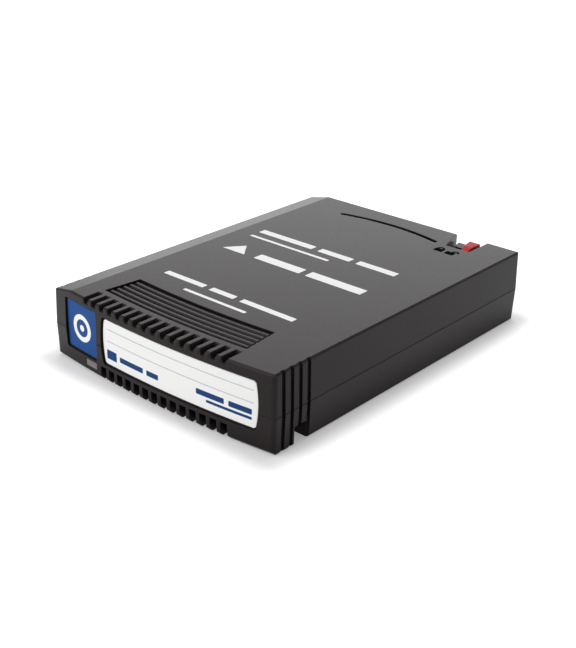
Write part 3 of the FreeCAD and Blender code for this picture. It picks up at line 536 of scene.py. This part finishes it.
def layFloor():
    half = studio["floorSize"] / 2
    corners = [(x, y, 0) for x, y in ((-half, -half), (half, -half), (half, half), (-half, half))]
    mesh = bpy.data.meshes.new("floor")
    mesh.from_pydata(corners, [], [(0, 1, 2, 3)])
    floor = bpy.data.objects.new("floor", mesh)
    floor.location.z = cadBox[0].z
    bpy.context.scene.collection.objects.link(floor)
    material, shader = newMaterial("paleSweepWithPaintedShadow", {"Base Color": linear(studio["floorColour"]),
                                                 "Roughness": studio["floorRoughness"],
                                                 "Specular IOR Level": 0.0})
    place = addNode(material, "NewGeometry").outputs["Position"]
    centred = addNode(material, "VectorMath", {"operation": "SUBTRACT"}, {0: place, 1: middle})
    folded = addNode(material, "VectorMath", {"operation": "ABSOLUTE"}, {0: centred.outputs["Vector"]})
    beyond = addNode(material, "VectorMath", {"operation": "SUBTRACT"},
                     {0: folded.outputs["Vector"], 1: (cadBox[1] - cadBox[0]) / 2})
    outside = addNode(material, "VectorMath", {"operation": "MAXIMUM"},
                      {0: beyond.outputs["Vector"], 1: (0, 0, 0)})
    distance = addNode(material, "VectorMath", {"operation": "LENGTH"}, {0: outside.outputs["Vector"]})
    # painted shadow: the glow is smallest at the object's outline and rises to white away from it, so the
    # floor is painted darker round the object
    glowWithPaintedShadow = addNode(material, "MapRange", {"interpolation_type": "SMOOTHSTEP"},
                       {"Value": distance.outputs["Value"], "From Max": studio["paintedShadowReachMm"] * mm,
                        "To Min": studio["paintedShadowGlow"], "To Max": studio["farGlow"]})
    glow = addNode(material, "Emission", None, {"Strength": glowWithPaintedShadow.outputs["Result"]})
    lit = addNode(material, "AddShader", None, {0: shader.outputs[0], 1: glow.outputs[0]})
    pick = addNode(material, "MixShader", None,
                   {0: seenDirectly(material), 1: shader.outputs[0], 2: lit.outputs[0]})
    connect(material, pick.outputs[0], material.node_tree.nodes["Material Output"], "Surface")
    mesh.materials.append(material)


def whiteSurround():
    world = bpy.data.worlds.new("surround")
    world.use_nodes = True
    bpy.context.scene.world = world
    colour = linear(studio["surroundColour"])
    light = world.node_tree.nodes["Background"]
    light.inputs["Color"].default_value = colour
    light.inputs["Strength"].default_value = studio["surroundLight"]
    seen = addNode(world, "Background", None, {"Color": colour, "Strength": studio["surroundSeen"]})
    pick = addNode(world, "MixShader", None,
                   {0: seenDirectly(world), 1: light.outputs[0], 2: seen.outputs[0]})
    connect(world, pick.outputs[0], world.node_tree.nodes["World Output"], "Surface")


def softLamp(name, energy, size, place):
    data = bpy.data.lights.new(name, "AREA")
    data.energy = energy
    data.size = size
    lamp = bpy.data.objects.new(name, data)
    lamp.location = place
    lamp.rotation_mode = "QUATERNION"
    lamp.rotation_quaternion = (middle - Vector(place)).to_track_quat("-Z", "Y")
    bpy.context.scene.collection.objects.link(lamp)


layFloor()
whiteSurround()
for lampName, look in lamps.items():
    softLamp(lampName, **look)
bpy.context.scene.view_settings.view_transform = "Standard"
print("studio done")


# Camera: the photograph's own view, three-quarter from the front right

viewpoint = {
    "azimuth": 40.54, "elevation": 24.94, "roll": 1.29, "distanceMm": 330.5,
    "targetMm": (10.12, -13.92, 12.4), "lensMm": 63.13, "sensorMm": 36, "clipStart": 0.01,
}


def setCamera():
    azimuth, elevation, roll = (math.radians(viewpoint[key]) for key in ("azimuth", "elevation", "roll"))
    back = Vector((math.sin(azimuth) * math.cos(elevation), -math.cos(azimuth) * math.cos(elevation),
                   math.sin(elevation)))  # from the target towards the camera
    right = Vector((math.cos(azimuth), math.sin(azimuth), 0))
    up = back.cross(right)
    turnedRight = math.cos(roll) * right + math.sin(roll) * up
    turnedUp = math.cos(roll) * up - math.sin(roll) * right
    data = bpy.data.cameras.new("camera")
    data.lens = viewpoint["lensMm"]
    data.sensor_width = viewpoint["sensorMm"]
    data.clip_start = viewpoint["clipStart"]
    camera = bpy.data.objects.new("camera", data)
    turn = Matrix((turnedRight, turnedUp, back)).transposed().to_4x4()
    place = (Vector(viewpoint["targetMm"]) + back * viewpoint["distanceMm"]) * mm
    camera.matrix_world = Matrix.Translation(place) @ turn
    bpy.context.scene.collection.objects.link(camera)
    bpy.context.scene.camera = camera


setCamera()
print("camera done")
